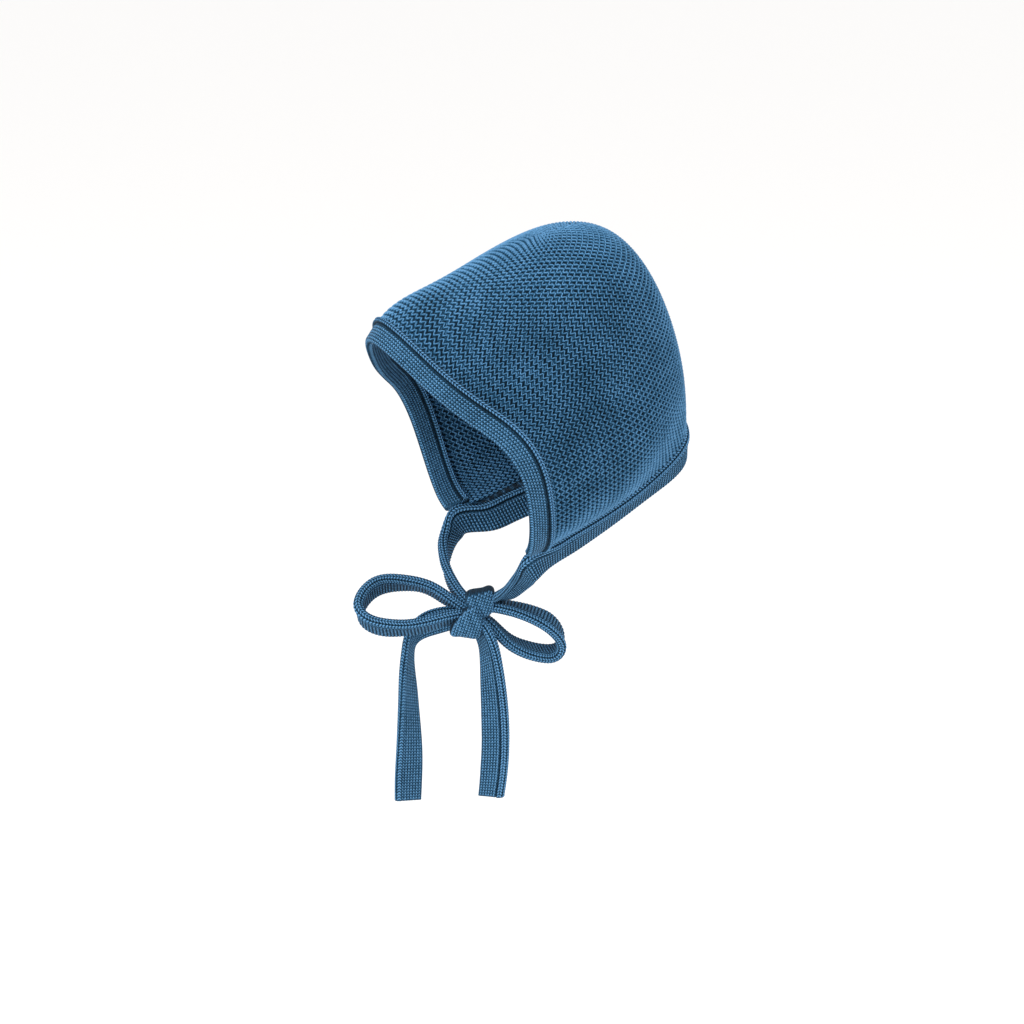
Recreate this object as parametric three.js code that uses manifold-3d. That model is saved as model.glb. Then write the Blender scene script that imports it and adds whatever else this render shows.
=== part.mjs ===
// Knitted baby bonnet with a folded face band and a bound neck edge whose ends are tied in a bow.
// Units mm, +Z up, front at -Y, the baby's left at +X. The origin is the inside of the crown's top,
// where a head carries the bonnet.
import * as THREE from 'three';
import Module from 'manifold-3d';

const manifold = await Module();
manifold.setup();
const { Manifold, Mesh } = manifold;

// driving sizes
const headHalfWidth = 56.6;   // widest place, over the ears
const headLength = 139.4;     // face edge at the brow to the nape
const headHeight = 131.2;     // outside of the crown's top down to the front corners
const clothWall = 2.2;        // garter knit of the crown
const bandWidth = 11.2;       // face band, front fold to the back of its seam ridge
const bandThick = 5.8;        // face band over its two seam ridges
const stripWidth = 12.6;      // neck band, chin straps, loops and tie ends
const stripThick = 4.2;       // the same strip over its two seam ridges
const chinDrop = 32.5;        // front corners of the neck edge down to the knot
const knotForward = 5.4;      // knot ahead of those corners
const loopLeftReach = 49.3;
const loopRightReach = 37.5;
const endLeftDrop = 86.9;
const endRightDrop = 82.5;
const knotWidth = 18;
const knotHeight = 20;
const pieceGap = 0.3;         // air between the crown and the face band
const seamGap = 1.1;          // air over the neck band's seam edge
const strapGap = 0.45;        // growth of the knot and straps that cuts the others clear

// grid
const crownCells = { down: 20, back: 18 };
const faceBandCells = 30;     // cells on each side of the face band
const strapCell = 3.8;        // length of a cell along a strap

// Crown surface. "down" runs 0 at the top line to 1 at the neck edge, "back" 0 at the face edge
// to 1 at the middle of the back. Each row of knitting is a line of constant "back".
const downKnots = [0, 0.25, 0.5, 0.75, 0.88, 1];
const backKnots = [0, 0.25, 0.5, 0.75, 1];
// half-width as a share of headHalfWidth, one row for each of downKnots
const halfWidth = [
  // face   1/4    1/2   3/4  middle of the back
  [0.000, 0.000, 0.000, 0.000, 0.000],
  [0.477, 0.519, 0.428, 0.240, 0.000],
  [0.774, 0.841, 0.739, 0.449, 0.000],
  [0.959, 1.000, 0.848, 0.512, 0.000],
  [0.832, 0.883, 0.795, 0.509, 0.000],
  [0.633, 0.523, 0.537, 0.429, 0.000],
];
// side views: y as a share of headLength, z of headHeight from the crown's top
const faceEdge = [
  // y      z     at downKnots
  [-0.680, -0.304],
  [-0.602, -0.415],
  [-0.500, -0.523],
  [-0.369, -0.725],
  [-0.326, -0.925],
  [-0.310, -1.000],
];
const backLine = [
  // y      z     at downKnots
  [-0.135, -0.024],
  [-0.075, -0.008],
  [0.107, -0.030],
  [0.257, -0.272],
  [0.297, -0.450],
  [0.320, -0.646],
];
const neckEdge = [
  // y      z     at backKnots
  [-0.310, -1.000],
  [-0.003, -0.897],
  [0.161, -0.797],
  [0.288, -0.700],
  [0.320, -0.646],
];
const topKnots = [0, 0.125, 0.25, 0.5, 0.75, 1];
const topLine = [
  // y      z     at topKnots
  [-0.680, -0.304],
  [-0.594, -0.210],
  [-0.469, -0.157],
  [-0.306, -0.091],
  [-0.186, -0.040],
  [-0.135, -0.024],
];

// The neck band's lean out of the cloth's direction, as a slope, at backKnots
const neckLean = [0.95, 0.5, 0.17, 0.02, 0.1];

// Sections. Strip: shares of stripWidth from the seam edge and of stripThick from its middle.
const stripSection = [
  // across  lift
  [0.056, 0.000],
  [0.000, 0.286],
  [0.063, 0.500],
  [0.175, 0.476],
  [0.238, 0.333],
  [0.762, 0.333],
  [0.952, 0.214],
  [1.000, 0.000],
];
// Face band: shares of bandWidth from the fold and of bandThick over the crown's outside.
const bandSection = [
  // back  lift
  [0.000, -0.293],
  [0.062, -0.052],
  [0.196, 0.086],
  [0.679, 0.086],
  [0.741, 0.241],
  [0.857, 0.328],
  [0.973, 0.224],
  [1.000, 0.034],
  [1.000, -0.448],
  [0.929, -0.621],
  [0.821, -0.672],
  [0.732, -0.552],
  [0.214, -0.603],
  [0.062, -0.500],
];

// Bow. Its frame has its origin in the knot: "side" is level and faces (cos 63, sin 63) degrees,
// "out" is level and faces the front left, "up" is +Z. Every strap row gives a point of the seam
// edge and then the way across to the plain edge, as a share of stripWidth.
const bowTurn = THREE.MathUtils.degToRad(63);
const bowSide = new THREE.Vector3(Math.cos(bowTurn), Math.sin(bowTurn), 0);
const bowOut = new THREE.Vector3(Math.sin(bowTurn), -Math.cos(bowTurn), 0);
const knotCentre = new THREE.Vector3(
  0,
  neckEdge[0][0] * headLength - knotForward,
  clothWall + neckEdge[0][1] * headHeight - chinDrop,
);

const strapRows = {
  // shares of the way from the knot to the front corner: side, up, out      across: side, up, out
  chinLeft: [
    [1.000, 1.000, 1.000, 0.450, -0.780, -0.330],
    [0.882, 0.862, 0.881, 0.571, -0.643, -0.429],
    [0.777, 0.674, 0.669, 0.460, -0.611, -0.619],
    [0.621, 0.455, 0.427, 0.325, -0.524, -0.690],
    [0.450, 0.292, 0.205, 0.230, -0.373, -0.762],
    [0.199, 0.142, 0.034, 0.095, -0.254, -0.595],
  ],
  chinRight: [
    [1.000, 1.000, 1.000, 0.579, -0.706, -0.127],
    [1.183, 0.868, 0.919, 0.635, -0.524, -0.460],
    [1.278, 0.748, 0.766, 0.532, -0.389, -0.706],
    [1.226, 0.628, 0.592, 0.286, -0.357, -0.849],
    [1.070, 0.511, 0.405, 0.008, -0.413, -0.873],
    [0.783, 0.382, 0.217, -0.190, -0.381, -0.857],
    [0.443, 0.252, 0.072, -0.262, -0.325, -0.738],
    [0.070, 0.135, -0.000, -0.175, -0.310, -0.635],
  ],
  // shares of the strap's own reach or drop: side, up, out                   across: side, up, out
  loopLeft: [
    [-0.041, 0.041, 0.041, -0.127, -0.238, -0.595],
    [-0.164, 0.112, 0.000, -0.190, -0.468, -0.778],
    [-0.270, 0.170, -0.059, -0.143, -0.571, -0.817],
    [-0.369, 0.215, -0.105, -0.111, -0.587, -0.817],
    [-0.473, 0.243, -0.134, -0.071, -0.603, -0.794],
    [-0.578, 0.264, -0.142, -0.040, -0.659, -0.762],
    [-0.680, 0.280, -0.138, -0.016, -0.722, -0.698],
    [-0.775, 0.288, -0.118, 0.008, -0.778, -0.635],
    [-0.858, 0.278, -0.077, 0.040, -0.802, -0.603],
    [-0.929, 0.243, -0.018, 0.071, -0.802, -0.603],
    [-0.980, 0.193, 0.049, 0.079, -0.802, -0.611],
    [-1.000, 0.136, 0.112, 0.063, -0.778, -0.643],
    [-0.976, 0.081, 0.162, 0.056, -0.770, -0.659],
    [-0.907, 0.032, 0.199, 0.056, -0.762, -0.667],
    [-0.805, 0.002, 0.215, 0.063, -0.754, -0.667],
    [-0.694, -0.014, 0.217, 0.063, -0.714, -0.690],
    [-0.584, -0.022, 0.205, 0.071, -0.659, -0.690],
    [-0.475, -0.016, 0.181, 0.063, -0.635, -0.651],
    [-0.361, 0.000, 0.152, 0.048, -0.587, -0.595],
    [-0.241, 0.020, 0.120, 0.016, -0.524, -0.548],
    [-0.101, 0.030, 0.073, 0.000, -0.389, -0.381],
  ],
  loopRight: [
    [0.080, 0.059, 0.069, 0.048, -0.016, -0.635],
    [0.216, 0.075, 0.117, 0.063, -0.032, -0.873],
    [0.317, 0.064, 0.147, 0.087, 0.000, -0.984],
    [0.429, 0.043, 0.173, 0.119, 0.032, -1.000],
    [0.552, 0.005, 0.197, 0.143, 0.087, -1.000],
    [0.669, -0.045, 0.211, 0.167, 0.143, -0.984],
    [0.779, -0.109, 0.211, 0.183, 0.183, -0.976],
    [0.875, -0.184, 0.200, 0.175, 0.135, -0.984],
    [0.947, -0.261, 0.184, 0.127, 0.024, -1.000],
    [0.992, -0.344, 0.160, 0.016, -0.063, -1.000],
    [1.000, -0.427, 0.136, -0.135, -0.040, -0.992],
    [0.968, -0.501, 0.117, -0.230, 0.087, -0.968],
    [0.901, -0.547, 0.109, -0.278, 0.214, -0.944],
    [0.811, -0.552, 0.107, -0.310, 0.278, -0.921],
    [0.701, -0.531, 0.107, -0.325, 0.310, -0.905],
    [0.587, -0.491, 0.107, -0.310, 0.302, -0.905],
    [0.477, -0.435, 0.107, -0.286, 0.310, -0.913],
    [0.376, -0.360, 0.104, -0.254, 0.333, -0.905],
    [0.283, -0.261, 0.093, -0.214, 0.286, -0.849],
    [0.192, -0.157, 0.077, -0.175, 0.167, -0.738],
    [0.069, -0.053, 0.043, -0.127, 0.063, -0.524],
  ],
  endLeft: [
    [-0.035, 0.005, -0.051, -0.048, -0.587, -0.190],
    [-0.091, 0.010, -0.055, -0.071, -0.865, -0.175],
    [-0.140, 0.009, -0.060, -0.048, -0.976, -0.159],
    [-0.196, -0.001, -0.061, -0.008, -1.008, -0.151],
    [-0.245, -0.020, -0.058, 0.032, -0.992, -0.206],
    [-0.288, -0.049, -0.048, 0.103, -0.929, -0.349],
    [-0.320, -0.092, -0.035, 0.183, -0.802, -0.540],
    [-0.339, -0.144, -0.024, 0.238, -0.667, -0.706],
    [-0.350, -0.203, -0.017, 0.286, -0.571, -0.770],
    [-0.360, -0.273, -0.013, 0.389, -0.492, -0.770],
    [-0.369, -0.361, -0.012, 0.524, -0.421, -0.746],
    [-0.376, -0.474, -0.012, 0.643, -0.341, -0.667],
    [-0.384, -0.611, -0.012, 0.778, -0.238, -0.563],
    [-0.394, -0.754, -0.012, 0.897, -0.143, -0.444],
    [-0.402, -0.884, -0.012, 0.937, -0.111, -0.381],
    [-0.404, -1.000, -0.012, 0.913, -0.087, -0.365],
  ],
  endRight: [
    [0.024, -0.006, 0.053, -0.222, -0.484, -0.476],
    [0.057, -0.032, 0.078, -0.325, -0.635, -0.603],
    [0.091, -0.081, 0.095, -0.429, -0.651, -0.635],
    [0.118, -0.149, 0.097, -0.563, -0.579, -0.595],
    [0.138, -0.236, 0.096, -0.690, -0.468, -0.548],
    [0.155, -0.341, 0.091, -0.802, -0.341, -0.476],
    [0.168, -0.456, 0.085, -0.881, -0.230, -0.413],
    [0.177, -0.579, 0.079, -0.929, -0.151, -0.365],
    [0.178, -0.708, 0.074, -0.937, -0.127, -0.317],
    [0.172, -0.829, 0.073, -0.937, -0.119, -0.310],
    [0.161, -0.926, 0.073, -0.905, -0.095, -0.333],
    [0.150, -1.000, 0.073, -0.873, -0.063, -0.365],
  ],
};
// The knot: rings from its upper right lump down to its lower left lump, heights as shares of
// knotHeight and the rest of knotWidth.
const knotRings = [
  // side   up    out   half-width  half-depth
  [0.311, 0.480, -0.033, 0.133, 0.167],
  [0.272, 0.410, -0.033, 0.289, 0.333],
  [0.200, 0.280, -0.028, 0.378, 0.422],
  [0.111, 0.130, -0.011, 0.367, 0.439],
  [0.033, 0.000, 0.006, 0.333, 0.433],
  [-0.033, -0.130, 0.022, 0.367, 0.456],
  [-0.094, -0.270, 0.028, 0.400, 0.461],
  [-0.133, -0.410, 0.022, 0.356, 0.400],
  [-0.156, -0.490, 0.017, 0.200, 0.233],
];

// A cubic spline through rows of numbers; a given slope clamps that end, null leaves it free.
function spline(knots, rows, startSlope = null, endSlope = null) {
  const n = knots.length;
  const wide = rows[0].length;
  const bend = rows.map(() => new Array(wide).fill(0));
  for (let c = 0; c < wide; c++) {
    const low = [], mid = [], high = [], right = [];
    for (let i = 0; i < n; i++) {
      const before = i > 0 ? knots[i] - knots[i - 1] : 0;
      const after = i < n - 1 ? knots[i + 1] - knots[i] : 0;
      const slopeBefore = i > 0 ? (rows[i][c] - rows[i - 1][c]) / before : startSlope;
      const slopeAfter = i < n - 1 ? (rows[i + 1][c] - rows[i][c]) / after : endSlope;
      const free = (i === 0 && startSlope === null) || (i === n - 1 && endSlope === null);
      low.push(free ? 0 : before);
      mid.push(free ? 1 : 2 * (before + after));
      high.push(free ? 0 : after);
      right.push(free ? 0 : 6 * (slopeAfter - slopeBefore));
    }
    for (let i = 1; i < n; i++) {
      const factor = low[i] / mid[i - 1];
      mid[i] -= factor * high[i - 1];
      right[i] -= factor * right[i - 1];
    }
    bend[n - 1][c] = right[n - 1] / mid[n - 1];
    for (let i = n - 2; i >= 0; i--) bend[i][c] = (right[i] - high[i] * bend[i + 1][c]) / mid[i];
  }
  return (x) => {
    let i = 0;
    while (i < n - 2 && x >= knots[i + 1]) i++;
    const h = knots[i + 1] - knots[i];
    const a = knots[i + 1] - x;
    const b = x - knots[i];
    return rows[i].map((value, c) =>
      (bend[i][c] * a ** 3 + bend[i + 1][c] * b ** 3) / (6 * h)
      + (value / h - (bend[i][c] * h) / 6) * a
      + (rows[i + 1][c] / h - (bend[i + 1][c] * h) / 6) * b);
  };
}

const faceAt = spline(downKnots, faceEdge, 0);
const backAt = spline(downKnots, backLine, 0);
const neckAt = spline(backKnots, neckEdge, null, 0);
const topAt = spline(topKnots, topLine, null, 0);
const leanAt = spline(backKnots, neckLean.map((value) => [value]));
const widthRows = halfWidth.map((row) => spline(backKnots, row.map((value) => [value])));

// A point of the crown's outside: a Coons patch in side view, with the half-width on top.
function crownPoint(down, back, side) {
  const u = 1 - Math.cos((Math.PI / 2) * down);
  const v = Math.sin((Math.PI / 2) * back);
  const yz = [0, 1].map((k) =>
    (1 - v) * faceAt(down)[k] + v * backAt(down)[k]
    + (1 - u) * topAt(back)[k] + u * neckAt(back)[k]
    - ((1 - u) * (1 - v) * faceEdge[0][k] + (1 - u) * v * backLine[0][k]
      + u * (1 - v) * neckEdge[0][k] + u * v * neckEdge[4][k]));
  const half = spline(downKnots, widthRows.map((row) => row(back)))(down)[0];
  return new THREE.Vector3(side * half * headHalfWidth, yz[0] * headLength, clothWall + yz[1] * headHeight);
}

// The outward direction of the crown there; on the middle line it has no sideways part.
function crownNormal(down, back, side) {
  const step = 1e-3;
  const at = (d, b) => crownPoint(d, b, side);
  const alongBack = at(down, Math.min(back + step, 1)).sub(at(down, Math.max(back - step, 0)));
  if (down === 0) return new THREE.Vector3(1, 0, 0).cross(alongBack).normalize();
  const alongDown = at(Math.min(down + step, 1), back).sub(at(down - step, back));
  if (back === 1) return new THREE.Vector3(1, 0, 0).cross(alongDown).normalize();
  return alongDown.cross(alongBack).multiplyScalar(side).normalize();
}

// "back" at a distance from the face edge, measured along the cloth.
function backAtWidth(down, distance) {
  let back = 0, run = 0;
  let last = crownPoint(down, 0, 1);
  const step = 0.01;
  while (back < 1) {
    const next = crownPoint(down, back + step, 1);
    const length = next.distanceTo(last);
    if (run + length >= distance) return back + (step * (distance - run)) / length;
    run += length;
    back += step;
    last = next;
  }
  return 1;
}

// "down" that stops a piece a distance short of the neck edge.
function downShort(back, distance) {
  const step = 0.01;
  return 1 - (step * distance) / crownPoint(1, back, 1).distanceTo(crownPoint(1 - step, back, 1));
}

function meshFrom(name, points, faces) {
  const geometry = new THREE.BufferGeometry();
  geometry.setAttribute('position', new THREE.Float32BufferAttribute(points.flatMap((p) => p.toArray()), 3));
  geometry.setIndex(faces.flat());
  const mesh = new THREE.Mesh(geometry, new THREE.MeshStandardMaterial({ color: 0x315979 }));
  mesh.name = name;
  return mesh;
}

// Faces turned so that the closed body has its outside outward.
function outward(points, faces) {
  const volume = faces.reduce((sum, [a, b, c]) => sum + points[a].dot(points[b].clone().cross(points[c])), 0);
  return volume < 0 ? faces.map(([a, b, c]) => [a, c, b]) : faces;
}

// Rings of equal count joined into a closed tube with flat ends.
function tube(rings) {
  const n = rings[0].length;
  const points = rings.flat();
  const faces = [];
  for (let i = 0; i < rings.length - 1; i++) {
    for (let j = 0; j < n; j++) {
      const k = (j + 1) % n;
      const a = i * n + j, b = i * n + k, c = (i + 1) * n + k, d = (i + 1) * n + j;
      faces.push([a, b, c], [a, c, d]);
    }
  }
  for (const [first, flip] of [[0, true], [(rings.length - 1) * n, false]]) {
    const centre = new THREE.Vector3();
    for (let j = 0; j < n; j++) centre.addScaledVector(points[first + j], 1 / n);
    points.push(centre);
    for (let j = 0; j < n; j++) {
      const k = (j + 1) % n;
      faces.push(flip ? [points.length - 1, first + k, first + j] : [points.length - 1, first + j, first + k]);
    }
  }
  return { points, faces: outward(points, faces) };
}

function makeCrown() {
  const { down, back } = crownCells;
  const points = [], faces = [];
  const place = { 1: [], '-1': [] };
  for (const side of [1, -1]) {
    for (let i = 0; i <= down; i++) {
      place[side].push([]);
      for (let j = 0; j <= back; j++) {
        if (side === -1 && (i === 0 || j === back)) {
          place[side][i].push(place[1][i][j]);
          continue;
        }
        const part = i / down;
        const from = backAtWidth(part, bandWidth + pieceGap);
        const b = from + (1 - from) * (j / back);
        const d = part * downShort(b, seamGap);
        const outer = crownPoint(d, b, side);
        const inner = outer.clone().addScaledVector(crownNormal(d, b, side), -clothWall);
        place[side][i].push(points.length);
        points.push(outer, inner);
      }
    }
  }
  for (const side of [1, -1]) {
    const at = place[side];
    const add = (a, b, c) => faces.push(side === 1 ? [a, b, c] : [a, c, b]);
    const wall = (a, b) => { add(a, b, b + 1); add(a, b + 1, a + 1); };
    for (let i = 0; i < down; i++) {
      for (let j = 0; j < back; j++) {
        const a = at[i][j], b = at[i + 1][j], c = at[i + 1][j + 1], d = at[i][j + 1];
        add(a, b, c); add(a, c, d);
        add(a + 1, c + 1, b + 1); add(a + 1, d + 1, c + 1);
      }
      wall(at[i + 1][0], at[i][0]);
    }
    for (let j = 0; j < back; j++) wall(at[down][j + 1], at[down][j]);
  }
  return meshFrom('crown', points, outward(points, faces));
}

function makeFaceBand() {
  const rings = [];
  for (let i = -faceBandCells; i <= faceBandCells; i++) {
    const side = i < 0 ? -1 : 1;
    const part = Math.abs(i) / faceBandCells;
    rings.push(bandSection.map(([distance, lift]) => {
      const b = backAtWidth(part, distance * bandWidth);
      const d = part * downShort(b, stripThick / 2 + seamGap);
      return crownPoint(d, b, side).addScaledVector(crownNormal(d, b, side), lift * bandThick);
    }));
  }
  const { points, faces } = tube(rings);
  return meshFrom('face_band', points, faces);
}

// One ring of the strip: from the seam edge, across to the plain edge, thickness along lift.
function stripRing(seam, across, lift, width, grow) {
  const under = stripSection.slice(1, -1).reverse().map(([a, h]) => [a, -h]);
  return [...stripSection, ...under].map(([a, h]) => seam.clone()
    .addScaledVector(across, a * width + grow * (2 * a - 1))
    .addScaledVector(lift, h * stripThick + Math.sign(h) * grow));
}

const fromBow = (side, up, out) => knotCentre.clone()
  .addScaledVector(bowSide, side).addScaledVector(bowOut, out).add(new THREE.Vector3(0, 0, up));

// Rows of seam and plain edge points become rings spaced evenly along the strap's middle.
function stripRings(rows, grow, cell = strapCell) {
  const knots = [0];
  for (let i = 1; i < rows.length; i++) {
    const mid = (r) => [0, 1, 2].map((k) => (r[k] + r[k + 3]) / 2);
    knots.push(knots[i - 1] + Math.hypot(...mid(rows[i]).map((v, k) => v - mid(rows[i - 1])[k])));
  }
  const along = spline(knots, rows);
  const length = knots[knots.length - 1];
  const count = Math.round(length / cell);
  const rings = [];
  for (let i = 0; i <= count; i++) {
    const l = (length * i) / count;
    const read = (x) => {
      const r = along(x);
      return [new THREE.Vector3(r[0], r[1], r[2]), new THREE.Vector3(r[3], r[4], r[5])];
    };
    const [seam, plain] = read(l);
    const [seamBack, plainBack] = read(Math.max(l - 0.5, 0));
    const [seamOn, plainOn] = read(Math.min(l + 0.5, length));
    const across = plain.clone().sub(seam);
    const width = across.length();
    across.normalize();
    const forward = seamOn.add(plainOn).sub(seamBack).sub(plainBack);
    forward.addScaledVector(across, -forward.dot(across)).normalize();
    rings.push(stripRing(seam, across, forward.clone().cross(across), width, grow));
  }
  return rings;
}

// Strap rows in the row's frame: seam edge point, then plain edge point.
const bowRows = (rows, reach) => rows.map((r) => {
  const at = [0, 1, 2].map((k) => r[k] * reach[k]);
  return [...fromBow(...at).toArray(), ...fromBow(...at.map((v, k) => v + r[k + 3] * stripWidth)).toArray()];
});

// From the knot to a front corner of the neck edge, in the bow's frame.
function cornerReach(side) {
  const way = crownPoint(1, 0, side).sub(knotCentre);
  return [way.dot(bowSide), way.z, way.dot(bowOut)];
}

// The neck band hangs from the neck edge in the direction of the cloth, leaning out by neckLean and
// set down by what its seam edge rises as it leans.
function neckRows() {
  const rows = [];
  const count = 16;
  const start = 0.07;
  for (let i = 0; i <= count * 2; i++) {
    const side = i <= count ? 1 : -1;
    const back = start + (1 - start) * (i <= count ? i / count : (2 * count - i) / count);
    const edge = crownPoint(1, back, side);
    const along = edge.clone().sub(crownPoint(0.97, back, side)).normalize();
    const normal = crownNormal(1, back, side);
    const lean = leanAt(back)[0];
    const across = along.clone().addScaledVector(normal, lean).normalize();
    const seam = edge.addScaledVector(normal, -clothWall / 2)
      .addScaledVector(along, (stripThick / 2) * Math.sin(Math.atan(lean)));
    rows.push([...seam.toArray(), ...seam.clone().addScaledVector(across, stripWidth).toArray()]);
  }
  return rows;
}

function makeSolid(rings) {
  const { points, faces } = tube(rings);
  return new Manifold(new Mesh({
    numProp: 3,
    vertProperties: new Float32Array(points.flatMap((p) => p.toArray())),
    triVerts: new Uint32Array(faces.flat()),
  }));
}

function knotSolid(grow) {
  const count = 16;
  const tilt = new THREE.Vector3(0, 0, 1);
  const rings = knotRings.map((row, i) => {
    const [side, , out, wide, deep] = row.map((share) => share * knotWidth);
    const end = i === 0 ? 2 * grow : i === knotRings.length - 1 ? -2 * grow : 0;
    const centre = fromBow(side, row[1] * knotHeight + end, out);
    const ring = [];
    for (let k = 0; k < count; k++) {
      const a = (2 * Math.PI * k) / count;
      const c = Math.cos(a), s = Math.sin(a);
      const round = (v) => Math.sign(v) * Math.abs(v) ** 0.8;
      ring.push(centre.clone().addScaledVector(bowSide, (wide + grow) * round(c))
        .addScaledVector(bowOut, (deep + grow) * round(s)).addScaledVector(tilt, -0.35 * wide * c));
    }
    return ring;
  });
  return makeSolid(rings);
}

const largest = (solid) => solid.decompose().sort((a, b) => b.volume() - a.volume())[0];

function meshFromSolid(name, solid) {
  const data = solid.getMesh();
  const points = [];
  for (let i = 0; i < data.vertProperties.length; i += data.numProp) {
    points.push(new THREE.Vector3(...data.vertProperties.slice(i, i + 3)));
  }
  const faces = [];
  for (let i = 0; i < data.triVerts.length; i += 3) faces.push([...data.triVerts.slice(i, i + 3)]);
  return meshFrom(name, points, faces);
}

// Each strap is cut clear of the knot and of the straps before it.
const loop = (name, reach) => bowRows(strapRows[name], [reach, reach, reach]);
const straps = [
  ['neck_band', [
    ...bowRows(strapRows.chinLeft, cornerReach(1)).reverse(),
    ...neckRows(),
    ...bowRows(strapRows.chinRight, cornerReach(-1)),
  ]],
  ['bow_loop_left', loop('loopLeft', loopLeftReach)],
  ['bow_loop_right', loop('loopRight', loopRightReach)],
  ['tie_end_right', loop('endRight', endRightDrop)],
  ['tie_end_left', loop('endLeft', endLeftDrop)],
];
const group = new THREE.Group();
group.name = 'baby_bonnet';
group.add(makeCrown(), makeFaceBand(), meshFromSolid('bow_knot', knotSolid(0)));
let taken = knotSolid(strapGap);
for (const [name, rows] of straps) {
  group.add(meshFromSolid(name, largest(makeSolid(stripRings(rows, 0)).subtract(taken))));
  taken = taken.add(makeSolid(stripRings(rows, strapGap)));
}

export default group;
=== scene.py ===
# Knitted baby bonnet: garter crown, folded face band, bound neck edge, ties in a bow.
# Shapes are worked out in millimetres and go into the meshes in metres.
import math

import bpy
import numpy as np
from mathutils import Matrix


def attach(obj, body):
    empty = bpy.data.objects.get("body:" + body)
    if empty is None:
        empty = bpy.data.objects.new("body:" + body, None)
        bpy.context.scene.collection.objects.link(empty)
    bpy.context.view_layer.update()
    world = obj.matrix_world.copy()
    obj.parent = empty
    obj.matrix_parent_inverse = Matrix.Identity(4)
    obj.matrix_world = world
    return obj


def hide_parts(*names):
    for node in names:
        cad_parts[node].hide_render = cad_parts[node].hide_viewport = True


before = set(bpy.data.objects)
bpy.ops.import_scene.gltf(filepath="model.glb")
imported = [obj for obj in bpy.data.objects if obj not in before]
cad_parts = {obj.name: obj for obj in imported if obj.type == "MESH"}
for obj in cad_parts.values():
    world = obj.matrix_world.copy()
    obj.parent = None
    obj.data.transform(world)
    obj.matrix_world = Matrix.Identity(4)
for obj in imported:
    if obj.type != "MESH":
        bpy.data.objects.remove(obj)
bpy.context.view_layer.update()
print("frame loaded", len(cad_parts), "nodes")

# camera
camera = {
    "azimuth": 63.068,  # degrees round from the front
    "elevation": 17.068,
    "roll": 0.134,
    "place": (1.12197, -0.60029, 0.26697),  # metres
    "lens": 108.8,
    "sensor": 36,
    "farthest": 20,
}


def makeCamera():
    # looks back along (sin a cos e, -cos a cos e, sin e), then turns on that line by the roll
    azimuth, elevation, roll = (math.radians(camera[k]) for k in ("azimuth", "elevation", "roll"))
    flat = math.cos(elevation)
    toward = np.array([math.sin(azimuth) * flat, -math.cos(azimuth) * flat, math.sin(elevation)])
    right = np.array([math.cos(azimuth), math.sin(azimuth), 0.0])
    up = np.cross(toward, right)
    turnedRight = math.cos(roll) * right - math.sin(roll) * up
    turnedUp = math.sin(roll) * right + math.cos(roll) * up
    axes = np.array([turnedRight, turnedUp, toward]).T
    data = bpy.data.cameras.new("camera")
    data.lens = camera["lens"]
    data.sensor_width = camera["sensor"]
    data.clip_end = camera["farthest"]
    cam = bpy.data.objects.new("camera", data)
    cam.matrix_world = Matrix.Translation(camera["place"]) @ Matrix(axes.tolist()).to_4x4()
    bpy.context.scene.collection.objects.link(cam)
    bpy.context.scene.camera = cam


makeCamera()

# crown surface: half-widths (rows go down, columns go back) and the four edges in side view (y, z);
# down runs from the top line to the neck edge, back from the face edge to the middle back
downKnots = [0, 0.25, 0.5, 0.75, 0.88, 1]
backKnots = [0, 0.25, 0.5, 0.75, 1]
topKnots = [0, 0.125, 0.25, 0.5, 0.75, 1]
halfWidth = np.array([
    [0, 0, 0, 0, 0],
    [27.0, 29.4, 24.2, 13.6, 0],
    [43.8, 47.6, 41.8, 25.4, 0],
    [54.3, 56.6, 48.0, 29.0, 0],
    [47.1, 50.0, 45.0, 28.8, 0],
    [35.8, 29.6, 30.4, 24.3, 0],
])
faceEdge = np.array([
    [-94.8, -37.7], [-83.9, -52.3], [-69.7, -66.4], [-51.4, -92.9], [-45.4, -119.1], [-43.2, -129.0],
])
backLine = np.array([
    [-18.8, -1.0], [-10.4, 1.1], [14.9, -1.8], [35.8, -33.5], [41.4, -56.8], [44.6, -82.6],
])
neckEdge = np.array([
    [-43.2, -129.0], [-0.4, -115.5], [22.4, -102.4], [40.2, -89.6], [44.6, -82.6],
])
topLine = np.array([
    [-94.8, -37.7], [-82.8, -25.4], [-65.4, -18.4], [-42.6, -9.8], [-25.9, -3.0], [-18.8, -1.0],
])


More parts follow.
